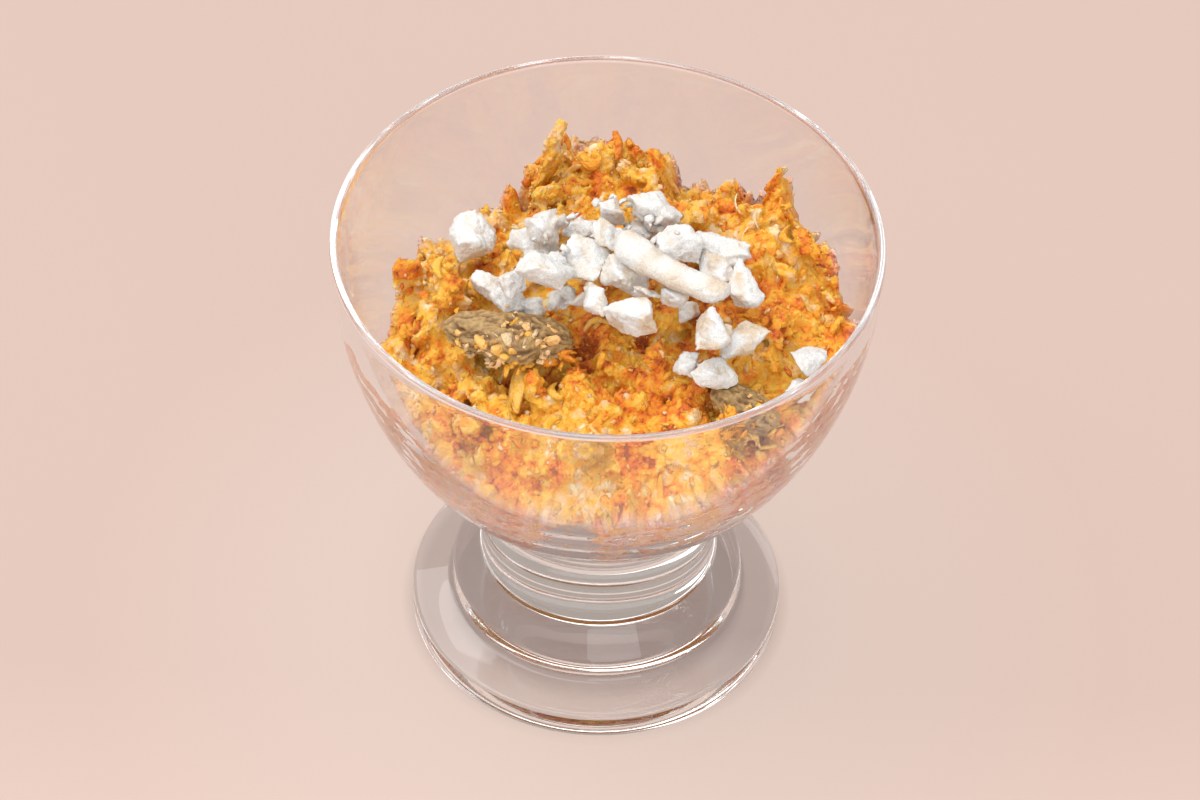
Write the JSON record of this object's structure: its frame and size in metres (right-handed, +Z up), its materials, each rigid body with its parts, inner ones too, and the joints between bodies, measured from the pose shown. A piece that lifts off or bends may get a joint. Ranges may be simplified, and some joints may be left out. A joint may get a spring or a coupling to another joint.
{
  "type": "bowl of gajar halwa",
  "caption": "Footed clear glass dessert bowl filled with a crumbly heap of orange grated carrot halwa, topped with chopped pale cashews and plump raisins.",
  "frame": {"origin": "centre of the foot's underside, on the table", "axes": "+Z up along the glass's axis, -Y towards the viewer of the picture, +X to the viewer's right"},
  "size_m": [0.094, 0.094, 0.0928],
  "materials": {
    "glass": "clear smooth pressed glass",
    "halwa": "moist crumbly cooked grated carrot, orange with yellow and deep orange bits",
    "cashew": "powdery off-white chopped nut",
    "raisin": "wrinkled olive-brown skin, slightly glossy"
  },
  "bodies": {
    "root": {"glass": "glass", "halwa": "halwa", "raisin_left": "raisin", "raisin_right": "raisin", "cashew_01": "cashew", "cashew_02": "cashew", "cashew_03": "cashew", "cashew_04": "cashew", "cashew_05": "cashew", "cashew_06": "cashew", "cashew_07": "cashew", "cashew_08": "cashew", "cashew_09": "cashew", "cashew_10": "cashew", "cashew_11": "cashew", "cashew_12": "cashew", "cashew_13": "cashew", "cashew_14": "cashew", "cashew_15": "cashew", "cashew_16": "cashew", "cashew_17": "cashew", "cashew_18": "cashew", "cashew_19": "cashew", "cashew_20": "cashew", "cashew_21": "cashew", "cashew_22": "cashew", "cashew_23": "cashew", "cashew_24": "cashew", "cashew_25": "cashew", "cashew_26": "cashew", "cashew_27": "cashew", "cashew_28": "cashew", "cashew_29": "cashew", "cashew_30": "cashew", "cashew_31": "cashew", "cashew_32": "cashew", "cashew_half": "cashew"}
  },
  "joints": []
}
